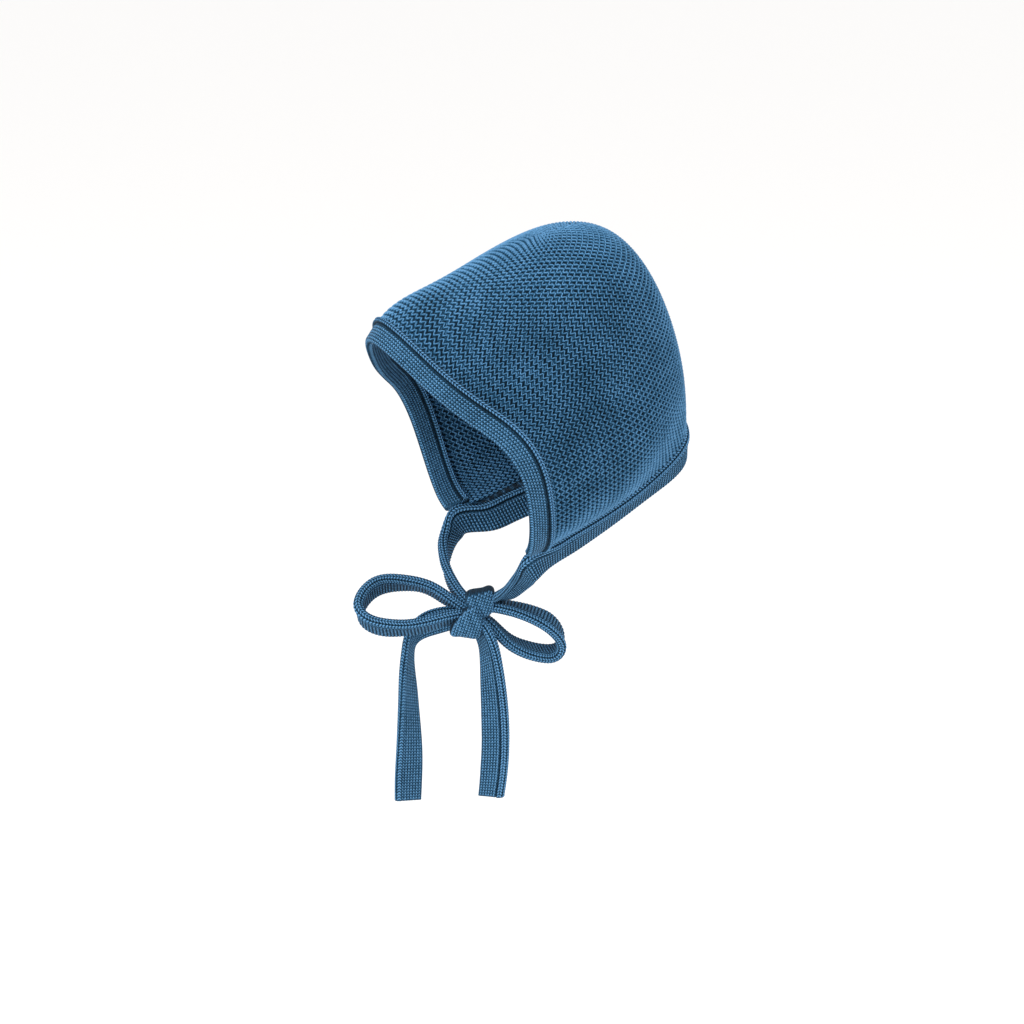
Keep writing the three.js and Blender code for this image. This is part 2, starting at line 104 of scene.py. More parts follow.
def spline(xs, ys, start=None, end=None):
    # cubic through the rows ys at xs: the second slopes b solve
    # h[k-1] b[k-1] + 2 (h[k-1] + h[k]) b[k] + h[k] b[k+1] = 6 (slope[k] - slope[k-1]); a given slope
    # clamps that end, None leaves it free
    xs, ys = np.asarray(xs, float), np.asarray(ys, float)
    n, h = len(xs), np.diff(xs)
    a, r = np.zeros((n, n)), np.zeros_like(ys)
    i = np.arange(1, n - 1)
    a[i, i - 1], a[i, i], a[i, i + 1] = h[:-1], 2 * (h[:-1] + h[1:]), h[1:]
    slope = np.diff(ys, axis=0) / h.reshape((-1,) + (1,) * (ys.ndim - 1))
    r[1:-1] = 6 * np.diff(slope, axis=0)
    a[0, 0] = a[-1, -1] = 1
    if start is not None:
        a[0, :2] = 2 * h[0], h[0]
        r[0] = 6 * (slope[0] - start)
    if end is not None:
        a[-1, -2:] = h[-1], 2 * h[-1]
        r[-1] = 6 * (end - slope[-1])
    bend = np.linalg.solve(a, r)

    def at(x):
        x = np.asarray(x, float)
        k = np.clip(np.searchsorted(xs, x, side="right") - 1, 0, n - 2)
        e = (...,) + (None,) * (ys.ndim - 1)
        p, q, w = (xs[k + 1] - x)[e], (x - xs[k])[e], h[k][e]
        return (
            (bend[k] * p**3 + bend[k + 1] * q**3) / (6 * w)
            + (ys[k] / w - bend[k] * w / 6) * p
            + (ys[k + 1] / w - bend[k + 1] * w / 6) * q
        )

    return at


faceAt = spline(downKnots, faceEdge, 0.0)
backAt = spline(downKnots, backLine, 0.0)
neckAt = spline(backKnots, neckEdge, None, 0.0)
topAt = spline(topKnots, topLine, None, 0.0)
widthAlong = spline(backKnots, halfWidth.T)
widthDown = spline(downKnots, np.eye(len(downKnots)))


def crownPoint(down, back):
    # side view: a Coons patch of the four edge curves, with u = 1 - cos(90 down), v = sin(90 back);
    # half-width: a spline over down of the five width columns splined over back
    down, back = np.broadcast_arrays(np.asarray(down, float), np.asarray(back, float))
    u = (1 - np.cos(np.pi / 2 * down))[..., None]
    v = np.sin(np.pi / 2 * back)[..., None]
    edges = (1 - v) * faceAt(down) + v * backAt(down) + (1 - u) * topAt(back) + u * neckAt(back)
    upperCorners = (1 - u) * (1 - v) * faceEdge[0] + (1 - u) * v * backLine[0]
    lowerCorners = u * (1 - v) * neckEdge[0] + u * v * neckEdge[-1]
    sideView = edges - (upperCorners + lowerCorners)
    half = (widthAlong(back) * widthDown(down)).sum(-1)
    return np.concatenate([half[..., None], sideView], -1)


def unit(v):
    # v / |v|
    return v / np.maximum(np.linalg.norm(v, axis=-1, keepdims=True), 1e-12)


def lengthAlong(points):
    # distance run along the first axis: 0, then the sum of the steps |p[k + 1] - p[k]|
    steps = np.linalg.norm(np.diff(points, axis=0), axis=-1)
    return np.concatenate([np.zeros_like(steps[:1]), np.cumsum(steps, axis=0)])


def clothLines(down, places):
    # back values at cloth distances from the face edge: places(length) gives the distances on a
    # line of constant down whose whole length to the middle back is length
    fine = np.linspace(0, 1, 241)
    run = lengthAlong(crownPoint(down[None], fine[:, None])).T
    return np.array([np.interp(places(line[-1]), line, fine) for line in run]), run[:, -1]


def normals(down, back):
    # outward: along down x along back, by small steps; the middle plane's own lie in it
    small = 1e-3
    alongDown = crownPoint(np.minimum(down + small, 1), back) - crownPoint(np.maximum(down - small, 0), back)
    alongBack = crownPoint(down, np.minimum(back + small, 1)) - crownPoint(down, np.maximum(back - small, 0))
    n = np.cross(alongDown, alongBack)
    middle = np.broadcast_to((down <= 0) | (back >= 1), n.shape[:-1])
    n[..., 0] = np.where(middle, 0, n[..., 0])
    return unit(n)


def mirrored(values):
    # the far side, reversed, before the near side, so that lines run over the top
    far = values[:0:-1].copy()
    far[..., 0] *= -1
    return np.concatenate([far, values])


def makeMesh(name, grids, closed=False):
    # each grid is (points n x m x 3, crest n x m, pattern n x m x 2); neighbours join into quads;
    # closed: the second direction closes on itself, a fan closes each end, and the faces are
    # turned outward by the sign of the volume
    verts, quads, fans, crests, patterns, base = [], [], [], [], [], 0
    for points, crest, pattern in grids:
        n, m = points.shape[:2]
        index = base + np.arange(n * m).reshape(n, m)
        if closed:
            index = np.concatenate([index, index[:, :1]], 1)
        corners = [index[:-1, :-1], index[:-1, 1:], index[1:, 1:], index[1:, :-1]]
        quads.append(np.stack(corners, -1).reshape(-1, 4))
        verts.append(points.reshape(-1, 3))
        crests.append(crest.reshape(-1))
        patterns.append(pattern.reshape(-1, 2))
        base += n * m
        for row in (0, n - 1) if closed else ():
            verts.append(points[row].mean(0, keepdims=True))
            crests.append(crest[row].mean(keepdims=True))
            patterns.append(pattern[row].mean(0, keepdims=True))
            ring = index[row] if row else index[row][::-1]
            fans.append(np.stack([ring[:-1], ring[1:], np.full(len(ring) - 1, base)], -1))
            base += 1
    verts, crests, patterns = np.concatenate(verts), np.concatenate(crests), np.concatenate(patterns)
    quads = np.concatenate(quads)
    fans = np.concatenate(fans) if fans else np.zeros((0, 3), int)
    if closed:
        corner = verts[quads]
        volume = np.einsum("ij,ij->", corner[:, 0], np.cross(corner[:, 1], corner[:, 2]))
        volume += np.einsum("ij,ij->", corner[:, 0], np.cross(corner[:, 2], corner[:, 3]))
        if volume < 0:
            quads, fans = quads[:, ::-1], fans[:, ::-1]
    loops = np.concatenate([quads.reshape(-1), fans.reshape(-1)])
    count = np.concatenate([np.full(len(quads), 4), np.full(len(fans), 3)])
    mesh = bpy.data.meshes.new(name)
    mesh.vertices.add(len(verts))
    mesh.vertices.foreach_set("co", (verts / 1000).astype(np.float32).reshape(-1))
    mesh.loops.add(len(loops))
    mesh.loops.foreach_set("vertex_index", loops.astype(np.int32))
    mesh.polygons.add(len(count))
    mesh.polygons.foreach_set("loop_start", (np.cumsum(count) - count).astype(np.int32))
    mesh.polygons.foreach_set("use_smooth", np.ones(len(count), bool))
    layer = mesh.uv_layers.new(name="yarn")
    layer.data.foreach_set("uv", patterns[loops].astype(np.float32).reshape(-1))
    # crest: the height of the yarn, which the materials turn into painted shade and painted highlight
    mesh.attributes.new("crest", "FLOAT", "POINT").data.foreach_set("value", crests.astype(np.float32))
    mesh.update(calc_edges=True)
    mesh.validate()
    thing = bpy.data.objects.new(name, mesh)
    bpy.context.scene.collection.objects.link(thing)
    return thing


# materials
yarn = {
    # colours from the deepest gap to the lit crest of a strand: the gap and the next colour up are painted
    # shade in the hollows, light is a painted highlight on the crest, and body is the yarn's own blue
    "gap": (0.0022, 0.0125, 0.025),
    "deepShade": (0.009, 0.040, 0.078),
    "body": (0.022, 0.102, 0.202),
    "light": (0.135, 0.335, 0.590),
    # noises: scale per metre, detail, roughness, and how much each shifts the colour
    "patches": (60, 3.0, 0.55, 0.34),
    "plies": (900, 2.0, 0.6, 0.7),
    "fibres": (2600, 3.0, 0.7, 0.5),
    "roughness": 0.88,
    "specular": 0.12,
    "sheen": 0.08,
    "sheenRoughness": 0.45,
    "sheenTint": (0.45, 0.68, 0.95, 1),
    "bump": 0.00012,  # metres
    "stitchBump": 0.0003,
    # V stitches: slant of a leg in stitches, roundness of a column, depth of a stitch, overall gain
    "slant": 0.76,
    "columnRound": 0.55,
    "stitchDepth": 0.74,
    "stitchGain": 1.55,
    "fibreLift": 0.35,
    # bars between the ridges of the ground: sharpness and gain
    "barRound": 1.6,
    "barGain": 0.75,
}


class Graph:
    # shorthand for a material's nodes
    def __init__(self, name):
        self.material = bpy.data.materials.new(name)
        self.material.use_nodes = True
        self.tree = self.material.node_tree
        self.shader = self.tree.nodes["Principled BSDF"]

    def node(self, kind, **values):
        made = self.tree.nodes.new(kind)
        for key, value in values.items():
            setattr(made, key, value)
        return made

    def feed(self, socket, value):
        if isinstance(value, bpy.types.NodeSocket):
            self.tree.links.new(value, socket)
        else:
            socket.default_value = value

    def math(self, operation, *values):
        made = self.node("ShaderNodeMath", operation=operation)
        for socket, value in zip(made.inputs, values):
            self.feed(socket, value)
        return made.outputs[0]

    def noise(self, scale, detail, rough):
        made = self.node("ShaderNodeTexNoise")
        self.feed(made.inputs["Vector"], self.node("ShaderNodeTexCoord").outputs["Object"])
        self.feed(made.inputs["Scale"], scale)
        self.feed(made.inputs["Detail"], detail)
        self.feed(made.inputs["Roughness"], rough)
        return made.outputs["Fac"]

    def ramp(self, value, stops):
        made = self.node("ShaderNodeValToRGB")
        ramp = made.color_ramp
        while len(ramp.elements) < len(stops):
            ramp.elements.new(0.5)
        for element, (place, colour) in zip(ramp.elements, stops):
            element.position = place
            element.color = (*colour, 1)
        self.feed(made.inputs[0], value)
        return made.outputs[0]


def knitMaterial(name, jersey=None, strands=None, stops=(0.0, 0.28, 0.58, 0.95), lift=0.0):
    # colour = ramp(height + noises + lift), height = crest, the height of the yarn in the mesh, so low yarn
    # is painted in shade and high yarn in highlight.
    # jersey = (pitch along, pitch across) in mm multiplies it by small V stitches: with leg 0 to 1
    # and back across a column, V = sin(leg 90)^round (1 - depth + depth wave(along + slant leg));
    # strands, pitches too, adds bars that cross from ridge to ridge: gain wave(phase)^round
    g = Graph(name)
    height = g.node("ShaderNodeAttribute", attribute_name="crest").outputs["Fac"]
    parts = g.node("ShaderNodeSeparateXYZ")
    g.feed(parts.inputs[0], g.node("ShaderNodeUVMap", uv_map="yarn").outputs[0])
    along, across = parts.outputs[0], parts.outputs[1]

    def wave(phase):
        # half of 1 + sin(360 phase)
        return g.math("MULTIPLY_ADD", g.math("SINE", g.math("MULTIPLY", phase, 2 * math.pi)), 0.5, 0.5)

    if strands:
        phase = g.math("MULTIPLY_ADD", across, 0.5 / strands[1], g.math("DIVIDE", along, strands[0]))
        bar = g.math("POWER", wave(phase), yarn["barRound"])
        height = g.math("MULTIPLY_ADD", bar, yarn["barGain"], height)
    if jersey:
        leg = g.math("MULTIPLY", g.math("PINGPONG", g.math("DIVIDE", across, jersey[1]), 0.5), 2.0)
        slant = g.math("MULTIPLY", leg, yarn["slant"])
        phase = g.math("ADD", g.math("DIVIDE", along, jersey[0]), slant)
        column = g.math("POWER", g.math("SINE", g.math("MULTIPLY", leg, math.pi / 2)), yarn["columnRound"])
        depth = yarn["stitchDepth"]
        stitch = g.math("MULTIPLY", g.math("MULTIPLY_ADD", wave(phase), depth, 1 - depth), column)
        height = g.math("MULTIPLY", height, g.math("MULTIPLY", stitch, yarn["stitchGain"]))
    mixed = g.math("ADD", height, lift)
    for key in ("patches", "plies", "fibres"):
        noise, share = g.noise(*yarn[key][:3]), yarn[key][3]
        mixed = g.math("ADD", mixed, g.math("MULTIPLY_ADD", noise, share, -share / 2))
    # the ramp paints shade in the hollows and a highlight on the tops, where the crest, V stitches and bars
    # set the height
    colours = [yarn[key] for key in ("gap", "deepShade", "body", "light")]
    g.feed(g.shader.inputs["Base Color"], g.ramp(mixed, list(zip(stops, colours))))
    for socket, key in (
        ("Roughness", "roughness"),
        ("Specular IOR Level", "specular"),
        ("Sheen Weight", "sheen"),
        ("Sheen Roughness", "sheenRoughness"),
        ("Sheen Tint", "sheenTint"),
    ):
        g.shader.inputs[socket].default_value = yarn[key]
    # the last noise made is the fibres; it roughens every yarn, over the V stitches where it has them
    lumps = g.node("ShaderNodeBump")
    lumps.inputs["Strength"].default_value = 1.0
    lumps.inputs["Distance"].default_value = yarn["stitchBump"] if jersey else yarn["bump"]
    both = g.math("MULTIPLY_ADD", noise, yarn["fibreLift"], height) if jersey else noise
    g.feed(lumps.inputs["Height"], both)
    g.feed(g.shader.inputs["Normal"], lumps.outputs[0])
    return g.material


stitchYarn = knitMaterial("garter_yarn", lift=0.06)
# the inside's ridges use the same garter yarn painted lighter: painted light on the inner faces
insideYarn = knitMaterial("inside_yarn", lift=0.16)
# the ground's ramp stops are moved up so that it is painted darker, as shade between the ridges
clothYarn = knitMaterial("ground_yarn", strands=(2.5, 2.2), stops=(0.1, 0.45, 0.85, 1.0))
jerseyYarn = knitMaterial("jersey_yarn", jersey=(1.3, 1.3), lift=-0.06)
print("materials made")


def finish(thing, material, slot, *nodes):
    # material and body of a piece, and the nodes that it stands for; the slot argument is not used
    thing.data.materials.append(material)
    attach(thing, "root")
    if nodes:
        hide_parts(*nodes)


# crown
crown = {
    "wall": 2.2,
    "skin": 0.70,  # how far the ground lies under the crown's surface
    "bandWidth": 11.2,  # the face band covers this much of it
    "spacing": 2.2,  # from garter ridge to ridge
    "stitch": 2.5,
    "cells": 7,  # mesh cells along one stitch
    "ridgeHalf": 0.78,  # half of a ridge's width
    "ridgeHeight": 1.15,
    "ridgeFoot": 0.35,  # how deep a ridge is set in
    "ridgeSeat": 0.30,  # how far a ridge's own surface lies inside the wall's
    "wave": 0.72,  # sideways swing of a ridge at each stitch
    "fan": -0.35,  # how far the ridges close up where the cloth is longest
    "tuck": 1.5,  # how far the ground runs on into the neck band
    "bare": 1.7,  # how far above the neck edge the stitches stop
    "measure": 0.4,  # the line of constant back along which stitches are counted
    "ground": (56, 44),  # rows and columns of the ground's mesh
    # the ground's crest is low so that it is painted dark: painted shade where it shows between the ridges
    "groundShadeCrest": 0.12,
    "underBand": (1.5, 0.4),  # how far the ground and the ridges reach under the face band
    "squeeze": (0.72, 1.15),  # least and most width of a ridge, as a share
    "margin": 0.12,  # a ridge ends this share of the spacing short of the middle
    "spine": 1.1,  # width of the ridge down the middle back, as a share
}


def makeGround():
    # a closed sheet: outside and inside surface a wall apart, joined along the edges, with a last
    # row run on into the neck band
    rows, columns = crown["ground"]
    start = crown["bandWidth"] - crown["underBand"][0]
    down = np.linspace(0, 0.995, rows)
    back, length = clothLines(down, lambda whole: np.linspace(start, whole, columns))
    points, n = crownPoint(down[:, None], back), normals(down[:, None], back)
    outer, inner = points - crown["skin"] * n, points - (crown["wall"] - crown["skin"]) * n
    both = np.concatenate([outer, inner[:, ::-1]], 1)
    both = np.concatenate([both, both[-1:] + unit(both[-1:] - both[-2:-1]) * crown["tuck"]])
    both = mirrored(both)
    run = lengthAlong(crownPoint(np.append(down, 1), crown["measure"]))
    run = np.concatenate([-run[:0:-1], run])[:, None]
    distance = np.linspace(0, 1, columns) * length.mean()
    pattern = np.stack(np.broadcast_arrays(run, np.concatenate([distance, distance[::-1]])), -1)
    # painted shade: the ground is kept dark by its low crest
    crest = np.full(both.shape[:2], crown["groundShadeCrest"])
    return makeMesh("crown_ground", [(both, crest, pattern)], closed=True)


def stitchSteps(back, fine, bare=0.0):
    # step numbers, and the down values at equal cloth distances along a line of constant back;
    # fine gives close down values along it, and bare is left off its lower end
    run = lengthAlong(crownPoint(fine, back))
    cell = crown["stitch"] / crown["cells"]
    step = np.arange(int((run[-1] - bare) / cell) + 1)
    return step, np.interp(step * cell, run, fine)


def makeStitches(name, sign, offset):
    # garter ridges: lines at cloth distances from the face edge, spacing (k + 1/2) s^fan for the
    # k-th, with s the line's share of the longest; those too far back for the top start and end at
    # the middle back. sign 1 is outside, -1 inside
    step, down = stitchSteps(crown["measure"], np.linspace(0, 0.998, 400), crown["bare"] if sign > 0 else 0)
    turn = 2 * np.pi * step / crown["cells"]
    start = crown["bandWidth"] - crown["underBand"][1]
    _, length = clothLines(down, lambda whole: whole)
    longest = length.max() - start
    rows = int(longest / crown["spacing"])
    fan = ((length - start) / longest) ** crown["fan"]
    place = start + crown["spacing"] * (np.arange(rows) + 0.5) * fan[:, None]
    places = iter(place)
    back, _ = clothLines(down, lambda whole: next(places))
    kept = place < length[:, None] - crown["margin"] * crown["spacing"]
    points, n = crownPoint(down[:, None], back), normals(down[:, None], back)
    forward = np.gradient(points, axis=0)
    forward = unit(forward - (forward * n).sum(-1, keepdims=True) * n)
    across = np.cross(forward, n)
    gap = np.abs((np.gradient(points, axis=1) * across).sum(-1))
    wide = np.clip(gap / crown["spacing"], *crown["squeeze"])
    # crests: 1 on a ridge's middle and near 0 at its sides, a painted highlight on top and painted shade
    # along the sides
    columns, heights, crests = np.array([-1, 0, 1]), np.array([0, 1, 0]), np.array([0.02, 1.0, 0.02])
    grids = []

    def strip(points, across, n, wide, turn, joined):
        # three columns, the middle one raised: side = (half c + wave sin turn) wide,
        # tall = height (0.88 + 0.12 cos 2 turn). A strip that isn't joined over the top stays on
        # its side of the middle and is mirrored
        side = (columns[None] * crown["ridgeHalf"] + crown["wave"] * np.sin(turn)[:, None]) * wide[:, None]
        swell = np.cos(2 * turn)[:, None]
        tall = heights[None] * crown["ridgeHeight"] * (0.88 + 0.12 * swell) - crown["ridgeFoot"]
        lift = (sign * tall + offset)[..., None]
        grid = points[:, None] + across[:, None] * side[..., None] + n[:, None] * lift
        # the crest swells with the height, so taller parts are painted lighter
        crest = crests[None] * (0.86 + 0.14 * swell)
        pattern = np.stack(np.broadcast_arrays(turn[:, None], side), -1)
        if sign < 0:
            grid, crest, pattern = grid[:, ::-1], crest[:, ::-1], pattern[:, ::-1]
        if not joined:
            grid[..., 0] = np.maximum(grid[..., 0], 0)
            grids.append((grid[::-1] * np.array([-1, 1, 1]), crest[::-1], pattern[::-1]))
        grids.append((grid, crest, pattern))

    for k in range(rows):
        here = np.nonzero(kept[:, k])[0]
        if len(here) < crown["cells"]:
            continue
        p, a, m, w, r = points[here, k], across[here, k], n[here, k], wide[here, k], turn[here]
        joined = here[0] == 0
        if joined:
            p, a, m = mirrored(p), mirrored(a), mirrored(m)
            w, r = np.concatenate([w[:0:-1], w]), np.concatenate([-r[:0:-1], r])
        strip(p, a, m, w, r, joined)
    # one more ridge down the middle back, over the ends of the others
    step, down = stitchSteps(1.0, np.linspace(0.12, 0.99, 300))
    p, m = crownPoint(down, 1.0), normals(down, np.ones(len(down)))
    toSide = np.broadcast_to([-1.0, 0, 0], p.shape)
    strip(p, toSide, m, np.full(len(down), crown["spine"]), 2 * np.pi * step / crown["cells"], True)
    print(name, rows, "ridges", sum((grid.shape[0] - 1) * 4 for grid, _, _ in grids), "triangles")
    return makeMesh(name, grids)


finish(makeGround(), clothYarn, "knit", "crown")
finish(makeStitches("crown_stitches", 1, -crown["ridgeSeat"]), stitchYarn, "knit")
finish(makeStitches("crown_inside_stitches", -1, crown["ridgeSeat"] - crown["wall"]), insideYarn, "knit")
print("crown made")

# face band
faceBand = {
    "outside": 0.45,  # height of the flat part over the crown's outside
    "inside": -3.45,
    "fold": 2.0,  # how far in the rounding of the fold reaches
    "ridgeTop": 1.75,
    "ridgeFrom": 8.9,  # where the two chain columns begin, from the fold
    "column": 1.1,  # width of a chain column
    "stitch": 1.3,  # pitch of the stitches, along and across
    "cells": 420,
    "foot": (0.94, 0.975),  # down value at which the fold ends, on the near and the far side
    "seamFoot": 0.985,  # and at which the seam edge ends
    "legs": 0.20,  # height of the legs on the chain columns
    "cut": 0.45,  # depth of the cuts beside and between the columns
}


def chainBumps(run, share, pitch):
    # share counts chain columns across; w is its part within a column. Round: sqrt(1 - (2w - 1)^2);
    # legs: a wave of run / pitch +- 0.6 (w - 1/2), + on even columns and - on odd ones
    column = np.floor(share)
    within = share - column
    lean = np.where(column % 2 < 1, 1.0, -1.0)
    legs = 0.5 + 0.5 * np.cos(2 * np.pi * (run / pitch + lean * (within - 0.5) * 0.6))
    return np.sqrt(np.clip(1 - (2 * within - 1) ** 2, 0, 1)), legs


def slantedFeet(down, out, grids):
    # each grid's rows run on evenly from the top to a foot that slants from the fold to the seam;
    # near and far side are joined over the top
    sides = []
    for foot, flip in zip(faceBand["foot"], (1, -1)):
        ends = foot + (faceBand["seamFoot"] - foot) * np.clip(out / out[-1], 0, 1)
        place = np.arange(len(down))[:, None] * (ends / faceBand["seamFoot"])[None]
        low = np.minimum(place.astype(int), len(down) - 2)
        part = (place - low)[..., None]
        column = np.arange(len(out))[None]
        side = [grid[low, column] * (1 - part) + grid[low + 1, column] * part for grid in grids]
        sides.append([grid * np.array([flip, 1, 1]) for grid in side])
    near, far = sides
    return [np.concatenate([f[:0:-1], n]) for f, n in zip(far, near)]


def makeFaceBand():
    # a closed section carried along the face edge: out from the fold, over the chain ridge, round
    # the seam and back along the inside; out is the cloth distance from the fold.
    # height = half sqrt(1 - (1 - out / fold)^2) + ridge, on both sides of the wall's middle
    down = np.linspace(0, faceBand["seamFoot"], faceBand["cells"] + 1)
    first, wide, stitch = faceBand["ridgeFrom"], faceBand["column"], faceBand["stitch"]
    out = np.concatenate([
        np.linspace(0.0, faceBand["fold"], 7),
        np.linspace(3, first - 0.4, 6),
        np.linspace(first, first + 2 * wide, 15),
    ])
    back, _ = clothLines(down, lambda whole: out)
    points, n = crownPoint(down[:, None], back), normals(down[:, None], back)
    points, n = slantedFeet(down, out, (points, n))
    n = unit(n)
    run = lengthAlong(points[:, 0])[:, None]
    ridge = (out >= first)[None] * 1.0
    column, legs = chainBumps(run, np.clip((out[None] - first) / wide, 0, 1.9999), stitch)
    column[:, -1] = 0
    middle = (faceBand["outside"] + faceBand["inside"]) / 2
    half = (faceBand["outside"] - faceBand["inside"]) / 2
    fold = np.sqrt(np.clip(1 - (1 - np.clip(out / faceBand["fold"], 0, 1)) ** 2, 0, 1))[None]
    raised = column * (faceBand["ridgeTop"] - faceBand["outside"])
    raised = raised + faceBand["legs"] * (legs - 0.5) - faceBand["cut"] * (column < 0.1)
    high = half * fold + ridge * raised
    # the crest is low in the groove beside the ridge and highest on the ridge: painted shade in the groove,
    # a painted highlight on the ridge
    crest = 0.72 * (1 - ridge) + ridge * (0.10 + 1.25 * column * (0.75 + 0.25 * legs))
    crest = crest * np.where((out > first - 1.0) & (out < first + 0.1), 0.3, 1.0)[None]
    outer = points + n * (middle + high)[..., None]
    inner = points + n * (middle - high)[..., None]
    # the small V stitches are spread so that the two chain columns of the ridge make one V
    place = np.where(out < first, out, stitch * (7 + (out - first) / (2 * wide)))
    pattern = np.stack(np.broadcast_arrays(run, place[None]), -1)
    pairs = (outer, inner), (crest, crest), (pattern, pattern)
    grid, crest, pattern = (np.concatenate([there, again[:, ::-1]], 1) for there, again in pairs)
    return makeMesh("face_band_knit", [(grid, crest, pattern)], closed=True)


finish(makeFaceBand(), jerseyYarn, "band", "face_band")
print("face band made")

# straps
strap = {
    "width": 12.6,
    "half": 1.3,  # half thickness of the flat part
    "roll": (1.65, 1.65),  # half axes of the rolled seam edge, under its chain columns
    "rollAt": 1.9,  # its middle, from the seam edge
    "rollTurns": (302, 58),  # degrees that it covers
    "chain": 0.45,  # height of a chain column
    "legs": 0.18,  # height of the legs on it
    "chains": 6,
    "groove": 3.15,  # where the groove beside the roll begins
    "grooveWidth": 0.9,
    "dip": 0.38,  # its depth, as a share of the half thickness
    "line": 4.0,  # middle of one more chain, beyond the groove
    "lineWidth": 0.45,
    "lineHeight": 0.35,
    "edge": 11.1,  # where the plain edge begins to round off
    "stitch": 1.3,  # pitch of the stitches
    "rib": 1.45,
    "ribDepth": 0.40,
    "step": 0.29,  # mesh step along a strap
    "lap": 1.5,  # how far the neck band's rolled edge laps up over the crown
    "proud": 0.9,  # and how far it stands out
    "lean": (0.95, 0.5, 0.17, 0.02, 0.1),  # outward lean of the neck band, at the back knots
    "hang": 2.1,  # how far that lean lowers it
    "neckRows": 16,
}
knotCentre = np.array([0, -48.6, -161.5])
bowTurn = math.radians(63)
bowSide = np.array([math.cos(bowTurn), math.sin(bowTurn), 0])
bowOut = np.array([math.sin(bowTurn), -math.cos(bowTurn), 0])
